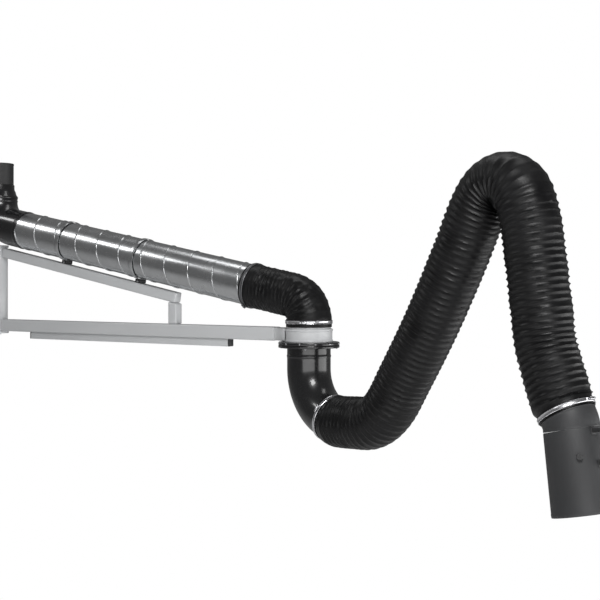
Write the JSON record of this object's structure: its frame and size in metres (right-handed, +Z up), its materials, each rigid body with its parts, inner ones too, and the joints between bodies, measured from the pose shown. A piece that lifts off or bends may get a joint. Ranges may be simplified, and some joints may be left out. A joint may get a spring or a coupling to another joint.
{
  "type": "fume extraction arm",
  "caption": "Wall-mounted fume extraction arm: swinging boom with spiral duct, black jointed hose arm and a cylindrical hood.",
  "frame": {"origin": "on the wall plate's back face, level with the boom beam's centre line and in the boom's plane", "axes": "+X out of the wall along the boom at rest, +Z up, -Y the side the arm is turned to"},
  "size_m": [2.9986, 0.6194, 1.2025],
  "materials": {
    "white_paint": "satin light grey powder coat",
    "galvanised": "galvanised sheet, spiral lock seam",
    "steel": "plated steel",
    "black_plastic": "glossy black moulding",
    "hose_fabric": "coated fabric over a wire helix",
    "hood_plastic": "dark grey moulding"
  },
  "bodies": {
    "wall": {"wall_plate": "white_paint", "wall_bolt_1": "steel", "wall_bolt_2": "steel", "wall_bolt_3": "steel", "wall_bolt_4": "steel", "lug_lower": "white_paint", "lug_upper": "white_paint", "pin_lower": "steel", "pin_upper": "steel", "wall_spigot": "black_plastic", "spigot_bracket": "black_plastic"},
    "boom": {"post": "white_paint", "boom_beam": "white_paint", "boom_strut": "white_paint", "brace_beam": "white_paint", "boom_neck": "white_paint", "ring_band": "white_paint", "flange_upper": "black_plastic", "tool_rail": "white_paint", "rail_cap_1": "black_plastic", "rail_cap_2": "black_plastic", "spiral_duct": "galvanised", "duct_strap_1": "steel", "duct_strap_2": "steel", "duct_saddle_1": "black_plastic", "duct_saddle_2": "black_plastic", "wall_elbow": "black_plastic", "swivel_collar": "black_plastic", "hose_elbow": "hose_fabric", "hose_clamp_1": "steel", "hose_clamp_2": "steel"},
    "swivel": {"flange_lower": "black_plastic", "swivel_sleeve": "steel", "flange_screw_1": "steel", "flange_screw_2": "steel", "flange_screw_3": "steel", "flange_screw_4": "steel", "arm_elbow": "black_plastic", "arm_clamp_1": "steel", "shoulder_link": "steel", "hose_bend_shoulder": "hose_fabric"},
    "lower_arm": {"hose_lower": "hose_fabric", "hose_bend_elbow": "hose_fabric", "lower_link_left": "steel", "lower_link_right": "steel", "shoulder_pin": "steel", "elbow_pin": "steel"},
    "outer_arm": {"hose_outer": "hose_fabric", "hose_bend_wrist": "hose_fabric", "outer_link": "steel"},
    "neck": {"neck_link": "steel", "neck_collar": "hood_plastic", "arm_clamp_2": "steel", "wrist_pin": "steel"},
    "hood": {"hood_shell": "hood_plastic", "hood_handle": "black_plastic"},
    "damper": {"damper_rod": "steel", "damper_knob": "black_plastic", "damper_plate": "galvanised"}
  },
  "joints": [
    {"name": "boom_swing", "type": "hinge", "parent": "wall", "child": "boom", "pos_m": [0.14, 0, 0], "axis": [0, 0, 1], "range_deg": [-80, 80]},
    {"name": "arm_swivel", "type": "hinge", "parent": "boom", "child": "swivel", "pos_m": [1.74, 0, 0], "axis": [0, 0, 1], "range_deg": [-130, 150]},
    {"name": "shoulder", "type": "hinge", "parent": "swivel", "child": "lower_arm", "pos_m": [2.08856, -0.12412, -0.27], "axis": [-0.3355, -0.9421, 0], "range_deg": [-50, 35], "deforming": ["hose_bend_shoulder"]},
    {"name": "elbow", "type": "hinge", "parent": "lower_arm", "child": "outer_arm", "pos_m": [2.63024, -0.317, 0.445], "axis": [-0.3355, -0.9421, 0], "range_deg": [-8, 85], "deforming": ["hose_bend_elbow"]},
    {"name": "wrist", "type": "hinge", "parent": "outer_arm", "child": "neck", "pos_m": [2.80264, -0.37839, -0.1], "axis": [-0.3355, -0.9421, 0], "range_deg": [-35, 35], "deforming": ["hose_bend_wrist"]},
    {"name": "hood_turn", "type": "hinge", "parent": "neck", "child": "hood", "pos_m": [2.85905, -0.39848, -0.21578], "axis": [0.2039, -0.0726, -0.9763], "range_deg": [-170, 170]},
    {"name": "damper_turn", "type": "hinge", "parent": "hood", "child": "damper", "pos_m": [2.87455, -0.40399, -0.28998], "axis": [0.4118, -0.8984, 0.1528], "range_deg": [0, 90]}
  ]
}
